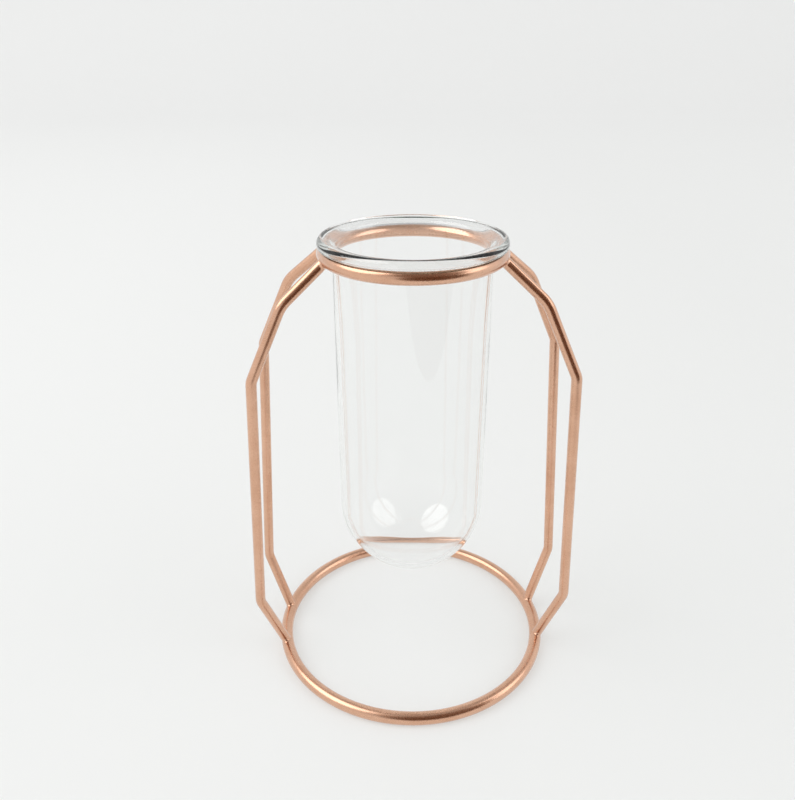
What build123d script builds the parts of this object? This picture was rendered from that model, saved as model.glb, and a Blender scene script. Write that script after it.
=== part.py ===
"""Test tube vase: a clear glass tube that hangs by its lip in a frame of copper-coloured wire.

Millimetres, +Z up. The origin lies on the surface that the vase stands on, under the tube's
axis. The legs stand in two pairs, at -X and at +X, and -Y is the front.
"""

import os
from math import cos, radians, tan

from build123d import *

# Driving dimensions

# wire of the frame, by diameter
ring_wire = 4.0
leg_wire = 3.15

# frame: both rings are measured to the centre line of their wire
base_ring_radius = 43.0
frame_height = 132.1  # from the base ring's centre line up to the top ring's

# glass tube
tube_diameter = 45.0
tube_wall = 1.5  # the same in its round bottom
tube_length = 107.9

# lip of the tube: its underside follows the ring's wire, and its top falls towards the mouth
lip_diameter = 53.3
lip_thickness = 2.3
lip_wrap = 108.0  # how far round the wire the underside goes, in degrees
lip_fall = radians(11.0)
toe_radius = 0.5  # at the lip's lower edge
crown_radius = 1.5  # at its upper edge
throat_radius = 3.0  # where its top bends into the bore

# gaps between the tube and the ring that carries it
bore_clearance = 0.4
seat_clearance = 0.2

# places of a leg's two ends round the rings, as angles from the X axis
foot_angle = 11.5
head_angle = 18.5

# each leg is bent flat, in a plane that runs this way in plan
bend_plane_angle = 21.5

# bends of a leg, measured in its plane
knee_out = 8.1  # from the foot
knee_rise = 20.7
shoulder_out = 13.4  # from the head
shoulder_drop = 11.5
elbow_out = 9.6  # from the shoulder
elbow_drop = 21.2
knee_radius = 6.0
elbow_radius = 5.0
shoulder_radius = 10.0

# welds: the legs' ends are cut square, short of the rings, and weld metal bridges the rest
weld_radius = 1.0  # of the fillet where the weld runs out over the ring
weld_land = 0.2  # straight stretch between the fillet and the leg's end
weld_gap = 0.01  # between the weld and the ring

# Sizes that follow

tube_radius = tube_diameter / 2
bore_radius = tube_radius - tube_wall
top_ring_radius = tube_radius + bore_clearance + ring_wire / 2
base_ring_height = ring_wire / 2
top_ring_height = base_ring_height + frame_height

seat_height = top_ring_height + ring_wire / 2 + seat_clearance
lip_top = seat_height + lip_thickness
tube_bottom = lip_top - tube_length

# the lip's underside starts from the tube's wall, and its section has a corner above its top
neck_radius = top_ring_radius - tube_radius
lip_radius = lip_diameter / 2
lip_corner = lip_top + crown_radius * (tan(lip_fall) + 1 / cos(lip_fall) - 1)

# from a ring's centre line to the square end of a leg
leg_standoff = ring_wire / 2 + weld_radius + weld_land


def save(part, name):
    """Label a finished piece and write it to its own file."""
    part.label = name
    export_step(part, f"parts/{name}.step")


def make_ring(radius, height, wire=ring_wire):
    """A closed ring of wire, level, at this height. Its seams lie inside and at the back."""
    with BuildPart() as ring:
        with BuildSketch(Plane.YZ):
            with Locations(Location((radius, height, 0), (0, 0, 180))):
                Circle(wire / 2)
        revolve(axis=Axis.Z)
    return ring.part


def make_tube():
    """The glass tube: round bottom, straight wall, and a lip that rolls out over the ring."""
    centre = (0, tube_bottom + tube_radius)
    with BuildPart() as tube:
        with BuildSketch(Plane.XZ):
            with BuildLine():
                outer_bottom = CenterArc(centre, tube_radius, -90, 90)
                underside = CenterArc(
                    (top_ring_radius, seat_height - neck_radius), neck_radius, 180, -lip_wrap
                )
                Line(outer_bottom @ 1, underside @ 0)
                inner_bottom = CenterArc(centre, bore_radius, 0, -90)
                # the underside runs on straight until it is below the lip's edge
                end, heading = underside @ 1, underside % 1
                lower_edge = end + heading * ((lip_radius - end.X) / heading.X)
                FilletPolyline(
                    end,
                    lower_edge,
                    (lip_radius, lip_corner),
                    (bore_radius, lip_corner - (lip_radius - bore_radius) * tan(lip_fall)),
                    inner_bottom @ 0,
                    radius=(toe_radius, crown_radius, throat_radius),
                )
                Line(inner_bottom @ 1, outer_bottom @ 0)
            make_face()
        revolve(axis=Axis.Z)
    return tube.part


def leg_route(foot, head):
    """The centre line of a leg's wire, bent in one plane, from the base ring to the top ring."""
    outward = Vector(1, 0, 0).rotate(Axis.Z, bend_plane_angle)
    leg_plane = Plane(origin=foot, x_dir=outward, z_dir=outward.cross(head - foot))
    end = leg_plane.to_local_coords(head)
    knee = Vector(knee_out, knee_rise)
    shoulder = Vector(end.X + shoulder_out, end.Y - shoulder_drop)
    elbow = Vector(shoulder.X + elbow_out, shoulder.Y - elbow_drop)
    corners = (
        knee.normalized() * leg_standoff,
        knee,
        elbow,
        shoulder,
        end + (shoulder - end).normalized() * leg_standoff,
    )
    with BuildLine() as route:
        FilletPolyline(
            [leg_plane.from_local_coords(corner) for corner in corners],
            radius=(knee_radius, elbow_radius, shoulder_radius),
        )
    return route.line


def make_leg(route):
    """A leg of wire along its route, cut square at both ends."""
    with BuildPart() as leg:
        with BuildSketch(Plane(origin=route @ 0, z_dir=route % 0)):
            Circle(leg_wire / 2)
        sweep(path=route)
    return leg.part


def make_weld(radius, height, end, away):
    """The weld between the leg that ends here and the ring at this radius and height.

    It carries on the leg's wire to the ring, away from the leg, and runs out over the ring
    in a fillet.
    """
    ring = make_ring(radius, height)
    with BuildPart() as stub:
        with BuildSketch(Plane(origin=end, z_dir=away)):
            Circle(leg_wire / 2)
        extrude(amount=leg_standoff)
        add(ring, mode=Mode.SUBTRACT)
    with BuildPart() as weld:
        add(ring)
        add(stub.part)
        groove = weld.edges().filter_by(GeomType.BSPLINE)
        fillet(groove, weld_radius)
        add(make_ring(radius, height, ring_wire + 2 * weld_gap), mode=Mode.SUBTRACT)
    return weld.part


def mirrored(piece, planes):
    """A copy of a piece, mirrored across each of these planes in turn."""
    with BuildPart() as copy:
        add(piece)
        for plane in planes:
            mirror(about=plane, mode=Mode.REPLACE)
    return copy.part


os.makedirs("parts", exist_ok=True)

save(make_tube(), "glass_tube")
save(make_ring(base_ring_radius, base_ring_height), "base_ring")
save(make_ring(top_ring_radius, top_ring_height), "top_ring")

# the back right leg and its welds are made in place, and mirrored to the other corners
foot = Vector(base_ring_radius, 0, base_ring_height).rotate(Axis.Z, foot_angle)
head = Vector(top_ring_radius, 0, top_ring_height).rotate(Axis.Z, head_angle)
route = leg_route(foot, head)
corner_pieces = {
    "leg": make_leg(route),
    "weld_base": make_weld(base_ring_radius, base_ring_height, route @ 0, foot - route @ 0),
    "weld_top": make_weld(top_ring_radius, top_ring_height, route @ 1, head - route @ 1),
}
corners = {
    "back_right": (),
    "back_left": (Plane.YZ,),
    "front_right": (Plane.XZ,),
    "front_left": (Plane.YZ, Plane.XZ),
}
for corner, planes in corners.items():
    for kind, piece in corner_pieces.items():
        save(mirrored(piece, planes), f"{kind}_{corner}")
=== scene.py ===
"""Looks of the test tube vase: clear glass in a frame of satin copper-coloured wire.

Metres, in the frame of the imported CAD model: +Z up, -Y to the front, origin on the floor under
the tube's axis.
"""

import math

import bmesh
import bpy
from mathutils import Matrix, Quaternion, Vector


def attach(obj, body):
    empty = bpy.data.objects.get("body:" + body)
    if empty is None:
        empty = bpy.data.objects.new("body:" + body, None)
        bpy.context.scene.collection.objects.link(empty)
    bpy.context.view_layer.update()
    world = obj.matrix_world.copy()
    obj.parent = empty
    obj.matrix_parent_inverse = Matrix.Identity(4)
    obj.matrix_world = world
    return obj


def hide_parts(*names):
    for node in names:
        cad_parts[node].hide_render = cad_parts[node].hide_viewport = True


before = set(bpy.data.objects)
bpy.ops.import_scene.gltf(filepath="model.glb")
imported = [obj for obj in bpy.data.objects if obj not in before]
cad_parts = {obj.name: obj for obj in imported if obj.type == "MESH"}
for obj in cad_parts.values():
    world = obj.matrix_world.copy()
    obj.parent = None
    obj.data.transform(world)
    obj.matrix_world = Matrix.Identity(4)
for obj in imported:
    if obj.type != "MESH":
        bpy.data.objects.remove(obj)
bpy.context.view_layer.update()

MM = 0.001

# Glass tube, as in the part's source: sizes in millimetres, the neck's sweep and the lip's fall
# in degrees. The neck, under the lip, goes round the wire of the top ring.
TUBE_RADIUS = 22.5
BORE_RADIUS = 21.0
TUBE_BOTTOM = 30.7
TUBE_BASE = 1.5
RING_RADIUS = 24.9
NECK_HEIGHT = 133.9
NECK_RADIUS = 2.4
NECK_SWEEP = 108.0
LIP_RADIUS = 26.65
LIP_HEIGHT = 138.915
LIP_FALL = 11.0
TOE_FILLET = 0.5
CROWN_FILLET = 1.5
THROAT_FILLET = 3.0

# Fineness of its mesh
TUBE_SEGMENTS = 256
BOTTOM_STEPS = 48
NECK_STEPS = 24
FILLET_STEPS = 14
AXIS_LIMIT = 1e-6  # a point nearer to the axis than this lies on it

# Camera, fitted to the photograph
CAMERA_PLACE = (-0.01101, -0.21669, 0.19363)
CAMERA_AIM = (-0.00441, 0.00013, 0.08807)
CAMERA_ROLL = math.radians(-0.178)
CAMERA_LENS = 35.78  # in millimetres, like the sensor
SENSOR_WIDTH = 36.0
CLIP_START = 0.01

# Linear colours of the copper and the glass
COPPER = (0.76, 0.445, 0.295, 1.0)
COPPER_DEEP = (0.68, 0.375, 0.235, 1.0)
GLASS_DEPTH = (0.84, 0.87, 0.85, 1.0)
GLASS_DENSITY = 44.0
GLASS_SHADOW = (0.90, 0.905, 0.90, 1.0)

# Paper of the floor and wall: its colour, and the painted light that glows in part of what is
# seen of it. The painted light changes over these stretches of X and Y, and fades into the room
# at these distances.
FLOOR = (0.86, 0.87, 0.87, 1.0)
FLOOR_PATCHES = 0.985  # level of its darker patches
# painted light: paler on the left, where the key lamp stands, darker on the right and far behind
PAINTED_LIGHT_LEFT = (0.95, 0.955, 0.935, 1.0)
PAINTED_LIGHT_RIGHT = (0.84, 0.845, 0.825, 1.0)
PAINTED_LIGHT_FAR = (0.88, 0.88, 0.865, 1.0)
PAINTED_LIGHT_WIDTH = (-0.25, 0.25)
PAINTED_LIGHT_DEPTH = (0.2, 1.5)
PAINTED_LIGHT_SHARE = 0.5
FADE = (3.6, 8.0)
ROOM_WALLS = (0.95, 0.95, 0.95, 1.0)
ROOM_CEILING = (0.43, 0.43, 0.43, 1.0)

# Dark sheets seen only in reflections, by place, width, height and colour: painted reflections of
# the photographer, near and low, and of the dim side of the room, high behind the camera
NEAR_CARD = ((0.07, -0.19, 0.125), 0.34, 0.22, (0.17, 0.075, 0.035, 1.0))
HIGH_CARD = ((0.24, -0.62, 0.72), 1.4, 1.2, (0.26, 0.16, 0.12, 1.0))
CARD_AIM = (0.0, 0.0, 0.125)
CARD_PATCHES = 0.7
CARD_SEGMENTS = 48

# Lamps, by place, diameter and radiance
KEY_LAMP = ((-2.2, -0.3, 2.5), 3.0, 2.2)
FILL_LAMP = ((2.3, -0.7, 1.9), 2.6, 1.35)
LAMP_AIM = (0.0, 0.0, 0.07)

# The lip's glass catches light for many bounces, and shows black where the limit cuts it off
ALL_BOUNCES = 40
SURFACE_BOUNCES = 32

# Sockets of a colour mix node: their names repeat, so they go by number
MIX_FIRST, MIX_SECOND, MIX_RESULT = 6, 7, 2


def node_material(name):
    """A new material with an empty node tree, and that tree."""
    material = bpy.data.materials.new(name)
    material.use_nodes = True
    tree = material.node_tree
    tree.nodes.clear()
    return material, tree


def add_node(tree, kind, inputs=(), **settings):
    """A node of this kind, with its settings, and with sockets set or linked by name."""
    node = tree.nodes.new(kind)
    for name, value in settings.items():
        setattr(node, name, value)
    for name, value in dict(inputs).items():
        if isinstance(value, bpy.types.NodeSocket):
            tree.links.new(value, node.inputs[name])
        else:
            node.inputs[name].default_value = value
    return node


def object_place(tree):
    """The place on the object, in its own coordinates."""
    return add_node(tree, "ShaderNodeTexCoord").outputs["Object"]


def noise(tree, place, scale, **sockets):
    """Soft noise at this place, from 0 to 1, with more of its sockets by name."""
    inputs = {"Vector": place, "Scale": scale, **sockets}
    return add_node(tree, "ShaderNodeTexNoise", inputs).outputs["Fac"]


def colour_ramp(tree, factor, low, high, start=0.0, end=1.0):
    """The colour that goes from low to high while the factor goes from start to end."""
    node = add_node(tree, "ShaderNodeValToRGB", {"Fac": factor})
    first, last = node.color_ramp.elements
    first.position, first.color = start, low
    last.position, last.color = end, high
    return node.outputs["Color"]


def patchy(tree, factor, paint, level):
    """This paint, down to a darker level of it where the factor is low."""
    darker = tuple(level * channel for channel in paint[:3]) + (1.0,)
    return colour_ramp(tree, factor, darker, paint)


def map_range(tree, value, source=(0.0, 1.0), target=(0.0, 1.0)):
    """The value, mapped from its source range to the target range."""
    inputs = {
        "Value": value,
        "From Min": source[0],
        "From Max": source[1],
        "To Min": target[0],
        "To Max": target[1],
    }
    return add_node(tree, "ShaderNodeMapRange", inputs).outputs["Result"]


def math_node(tree, operation, first, second):
    """The result of this operation on two values."""
    node = add_node(tree, "ShaderNodeMath", {0: first, 1: second}, operation=operation)
    return node.outputs["Value"]


def mix_colours(tree, factor, first, second):
    """The colour between these two."""
    inputs = {"Factor": factor, MIX_FIRST: first, MIX_SECOND: second}
    return add_node(tree, "ShaderNodeMix", inputs, data_type="RGBA").outputs[MIX_RESULT]


def mix_shaders(tree, factor, first, second):
    """The shader between these two."""
    inputs = {"Fac": factor, 1: first, 2: second}
    return add_node(tree, "ShaderNodeMixShader", inputs).outputs["Shader"]


def copper_material():
    """Satin copper plate: soft grain in its colour, its roughness and its surface."""
    material, tree = node_material("satin_copper")
    place = object_place(tree)
    patches = noise(tree, place, 140.0, Detail=3.0, Roughness=0.55)
    grain = noise(tree, place, 3200.0, Detail=2.0, Roughness=0.6)
    bump = add_node(
        tree, "ShaderNodeBump", {"Height": grain, "Strength": 0.1, "Distance": 0.00002}
    )
    shader = add_node(
        tree,
        "ShaderNodeBsdfPrincipled",
        {
            "Base Color": colour_ramp(tree, patches, COPPER_DEEP, COPPER, start=0.3, end=0.65),
            "Metallic": 1.0,
            "Roughness": map_range(tree, grain, target=(0.24, 0.32)),
            "Normal": bump.outputs["Normal"],
            "Coat Weight": 1.0,
            "Coat Roughness": 0.15,
        },
    )
    add_node(tree, "ShaderNodeOutputMaterial", {"Surface": shader.outputs["BSDF"]})
    return material


def glass_material():
    """Clear blown glass: faint waves in its surface, faint green in its depth."""
    material, tree = node_material("clear_glass_blown")
    waves = noise(tree, object_place(tree), 60.0, Detail=1.0, Roughness=0.4)
    bump = add_node(
        tree, "ShaderNodeBump", {"Height": waves, "Strength": 0.1, "Distance": 0.0003}
    )
    glass = add_node(
        tree,
        "ShaderNodeBsdfPrincipled",
        {
            "Base Color": (1.0, 1.0, 1.0, 1.0),
            "Metallic": 0.0,
            "Roughness": 0.0,
            "IOR": 1.5,
            "Transmission Weight": 1.0,
            "Normal": bump.outputs["Normal"],
        },
    )
    # lamps shine straight through it, so that its shadow is pale
    through = add_node(tree, "ShaderNodeBsdfTransparent", {"Color": GLASS_SHADOW})
    rays = add_node(tree, "ShaderNodeLightPath")
    surface = mix_shaders(
        tree, rays.outputs["Is Shadow Ray"], glass.outputs["BSDF"], through.outputs["BSDF"]
    )
    depth = add_node(
        tree, "ShaderNodeVolumeAbsorption", {"Color": GLASS_DEPTH, "Density": GLASS_DENSITY}
    )
    add_node(
        tree,
        "ShaderNodeOutputMaterial",
        {"Surface": surface, "Volume": depth.outputs["Volume"]},
    )
    return material


def matt_shader(tree, colour):
    """A matt surface with hardly a sheen."""
    inputs = {"Base Color": colour, "Roughness": 0.9, "Specular IOR Level": 0.1}
    return add_node(tree, "ShaderNodeBsdfPrincipled", inputs).outputs["BSDF"]


def backdrop_material():
    """Pale matt paper with faint patches, part of it seen as a glow of painted light.

    The painted light is seen by the camera, in the wire and through the glass. It is paler on the
    left, where the key lamp stands, than on the right, level across far behind, and fades into
    the room far away on all sides.
    """
    material, tree = node_material("pale_paper")
    place = object_place(tree)
    clouds = noise(tree, place, 3.0, Detail=2.0)
    paper = matt_shader(tree, patchy(tree, clouds, FLOOR, FLOOR_PATCHES))

    spot = add_node(tree, "ShaderNodeSeparateXYZ", {"Vector": place}).outputs
    # painted light that glows: paler on the left than on the right, level across far behind
    painted_light = mix_colours(tree, map_range(tree, spot["X"], PAINTED_LIGHT_WIDTH), PAINTED_LIGHT_LEFT, PAINTED_LIGHT_RIGHT)
    painted_light = mix_colours(tree, map_range(tree, spot["Y"], PAINTED_LIGHT_DEPTH), painted_light, PAINTED_LIGHT_FAR)
    distance = add_node(tree, "ShaderNodeVectorMath", {"Vector": place}, operation="LENGTH")
    faded = map_range(tree, distance.outputs["Value"], FADE)
    painted_light = mix_colours(tree, faded, painted_light, ROOM_WALLS)
    painted_glow = add_node(tree, "ShaderNodeEmission", {"Color": painted_light, "Strength": 1.0})

    rays = add_node(tree, "ShaderNodeLightPath").outputs
    seen = math_node(tree, "MAXIMUM", rays["Is Camera Ray"], rays["Is Glossy Ray"])
    seen = math_node(tree, "MAXIMUM", seen, rays["Is Transmission Ray"])
    share = map_range(tree, faded, target=(PAINTED_LIGHT_SHARE, 1.0))
    share = math_node(tree, "MULTIPLY", seen, share)
    surface = mix_shaders(tree, share, paper, painted_glow.outputs["Emission"])
    add_node(tree, "ShaderNodeOutputMaterial", {"Surface": surface})
    return material


def arc(centre, radius, start, sweep, steps):
    """Points (r, z) of an arc, with its angles in degrees, both ends included."""
    points = []
    for step in range(steps + 1):
        angle = math.radians(start + sweep * step / steps)
        points.append(
            (centre[0] + radius * math.cos(angle), centre[1] + radius * math.sin(angle))
        )
    return points


def mesh_object(name, bm, material):
    """A smooth-shaded object of this bmesh."""
    for face in bm.faces:
        face.smooth = True
    mesh = bpy.data.meshes.new(name)
    bm.to_mesh(mesh)
    bm.free()
    mesh.materials.append(material)
    piece = bpy.data.objects.new(name, mesh)
    bpy.context.scene.collection.objects.link(piece)
    return piece


def lathe(profile, segments):
    """A closed bmesh turned from (r, z) points in millimetres; its ends lie on the axis."""
    bm = bmesh.new()
    rows = []
    for r, z in profile:
        if r < AXIS_LIMIT:
            rows.append([bm.verts.new((0.0, 0.0, z * MM))])
            continue
        row = []
        for segment in range(segments):
            angle = 2 * math.pi * segment / segments
            row.append(bm.verts.new((r * MM * math.cos(angle), r * MM * math.sin(angle), z * MM)))
        rows.append(row)
    for low, high in zip(rows, rows[1:]):
        for segment in range(segments):
            after = (segment + 1) % segments
            if len(low) == 1:
                bm.faces.new((low[0], high[after], high[segment]))
            elif len(high) == 1:
                bm.faces.new((low[segment], low[after], high[0]))
            else:
                bm.faces.new((low[segment], low[after], high[after], high[segment]))
    bmesh.ops.recalc_face_normals(bm, faces=bm.faces)
    return bm


def rounded(corners, radii):
    """The path through these corners, with each one but the ends turned into an arc."""
    path = [corners[0]]
    for before, corner, after, radius in zip(corners, corners[1:], corners[2:], radii):
        here = Vector(corner)
        back = (Vector(before) - here).normalized()
        ahead = (Vector(after) - here).normalized()
        half = back.angle(ahead) / 2
        centre = here + (back + ahead).normalized() * (radius / math.sin(half))
        first = here + back * (radius / math.tan(half)) - centre
        last = here + ahead * (radius / math.tan(half)) - centre
        start = math.degrees(math.atan2(first.y, first.x))
        sweep = math.degrees(math.atan2(last.y, last.x)) - start
        # the short way round
        sweep = (sweep + 180) % 360 - 180
        path += arc(centre, radius, start, sweep, FILLET_STEPS)
    path.append(corners[-1])
    return path


def tube_profile():
    """The glass tube's section: from its outer pole up, over the lip, down to its inner pole."""
    outer_pole = (0.0, TUBE_BOTTOM)
    inner_pole = (0.0, TUBE_BOTTOM + TUBE_BASE)
    inner_centre = TUBE_BOTTOM + TUBE_BASE + BORE_RADIUS
    outer_bottom = arc((0, TUBE_BOTTOM + TUBE_RADIUS), TUBE_RADIUS, -90, 90, BOTTOM_STEPS)
    neck = arc((RING_RADIUS, NECK_HEIGHT), NECK_RADIUS, 180, -NECK_SWEEP, NECK_STEPS)
    turn = math.radians(180 - NECK_SWEEP)
    reach = LIP_RADIUS - neck[-1][0]
    toe = (LIP_RADIUS, neck[-1][1] - reach / math.tan(turn))
    fall = math.tan(math.radians(LIP_FALL)) * (LIP_RADIUS - BORE_RADIUS)
    lip = rounded(
        [
            neck[-1],
            toe,
            (LIP_RADIUS, LIP_HEIGHT),
            (BORE_RADIUS, LIP_HEIGHT - fall),
            (BORE_RADIUS, inner_centre),
        ],
        (TOE_FILLET, CROWN_FILLET, THROAT_FILLET),
    )
    inner_bottom = arc((0, inner_centre), BORE_RADIUS, 0, -90, BOTTOM_STEPS)
    return [outer_pole] + outer_bottom[1:] + neck + lip[1:] + inner_bottom[1:-1] + [inner_pole]


def make_backdrop():
    """Floor that sweeps up into a wall far behind, in one sheet."""
    side, front, bend_start, bend, top, steps = 12.0, -12.0, 1.5, 1.5, 4.0, 24
    section = [(front, 0.0)]
    for step in range(steps + 1):
        angle = math.pi / 2 * step / steps
        section.append((bend_start + bend * math.sin(angle), bend - bend * math.cos(angle)))
    section.append((bend_start + bend, top))
    bm = bmesh.new()
    rows = [[bm.verts.new((x, y, z)) for x in (-side, side)] for y, z in section]
    for low, high in zip(rows, rows[1:]):
        bm.faces.new((low[0], low[1], high[1], high[0]))
    backdrop = mesh_object("backdrop", bm, backdrop_material())


def make_world():
    """Soft pale room light, less of it from above."""
    world = bpy.data.worlds.new("room")
    world.use_nodes = True
    bpy.context.scene.world = world
    tree = world.node_tree
    tree.nodes.clear()
    way = add_node(tree, "ShaderNodeTexCoord").outputs["Generated"]
    height = add_node(tree, "ShaderNodeSeparateXYZ", {"Vector": way}).outputs["Z"]
    level = colour_ramp(tree, height, ROOM_WALLS, ROOM_CEILING)
    light = add_node(tree, "ShaderNodeBackground", {"Color": level, "Strength": 1.0})
    add_node(tree, "ShaderNodeOutputWorld", {"Surface": light.outputs["Background"]})


def make_dark_card(name, place, width, height, paint):
    """A dark oval card that faces the vase, seen only in the gloss of the wire and the glass: a
    painted reflection.
    """
    material, tree = node_material(name + "_painted_reflection")
    # painted shade of folds: darker patches on the card
    painted_fold_shade = noise(tree, object_place(tree), 8.0)
    surface = matt_shader(tree, patchy(tree, painted_fold_shade, paint, CARD_PATCHES))
    add_node(tree, "ShaderNodeOutputMaterial", {"Surface": surface})
    bm = bmesh.new()
    bmesh.ops.create_circle(bm, cap_ends=True, segments=CARD_SEGMENTS, radius=1.0)
    card = mesh_object(name, bm, material)
    card.scale = (width / 2, height / 2, 1.0)
    card.rotation_euler = (Vector(place) - Vector(CARD_AIM)).to_track_quat("Z", "Y").to_euler()
    card.location = place
    card.visible_camera = False
    card.visible_diffuse = False
    card.visible_transmission = False
    card.visible_shadow = False


def add_softbox(name, place, size, radiance):
    """A round area lamp that faces the object, with this radiance over its face."""
    lamp = bpy.data.lights.new(name, "AREA")
    lamp.shape = "DISK"
    lamp.size = size
    lamp.energy = radiance * math.pi * math.pi * size * size / 4
    holder = bpy.data.objects.new(name, lamp)
    holder.location = place
    aim = Vector(LAMP_AIM) - Vector(place)
    holder.rotation_euler = aim.to_track_quat("-Z", "Y").to_euler()
    bpy.context.scene.collection.objects.link(holder)


def add_camera():
    """The photograph's view."""
    camera = bpy.data.cameras.new("camera")
    camera.sensor_width = SENSOR_WIDTH
    camera.lens = CAMERA_LENS
    camera.clip_start = CLIP_START
    holder = bpy.data.objects.new("camera", camera)
    holder.location = CAMERA_PLACE
    level = (Vector(CAMERA_AIM) - Vector(CAMERA_PLACE)).to_track_quat("-Z", "Y")
    holder.rotation_euler = (level @ Quaternion((0, 0, 1), CAMERA_ROLL)).to_euler()
    bpy.context.scene.collection.objects.link(holder)
    bpy.context.scene.camera = holder


copper = copper_material()
for name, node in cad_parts.items():
    if name == "glass_tube":
        continue
    node.data.materials.clear()
    node.data.materials.append(copper)

tube = mesh_object("tube_glass", lathe(tube_profile(), TUBE_SEGMENTS), glass_material())
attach(tube, "tube")
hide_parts("glass_tube")

make_backdrop()
make_world()
make_dark_card("near_card", *NEAR_CARD)
make_dark_card("high_card", *HIGH_CARD)
add_softbox("key", *KEY_LAMP)
add_softbox("fill", *FILL_LAMP)
add_camera()

bpy.context.scene.view_settings.view_transform = "Standard"
bounces = bpy.context.scene.cycles
bounces.max_bounces = ALL_BOUNCES
bounces.glossy_bounces = SURFACE_BOUNCES
bounces.transmission_bounces = SURFACE_BOUNCES
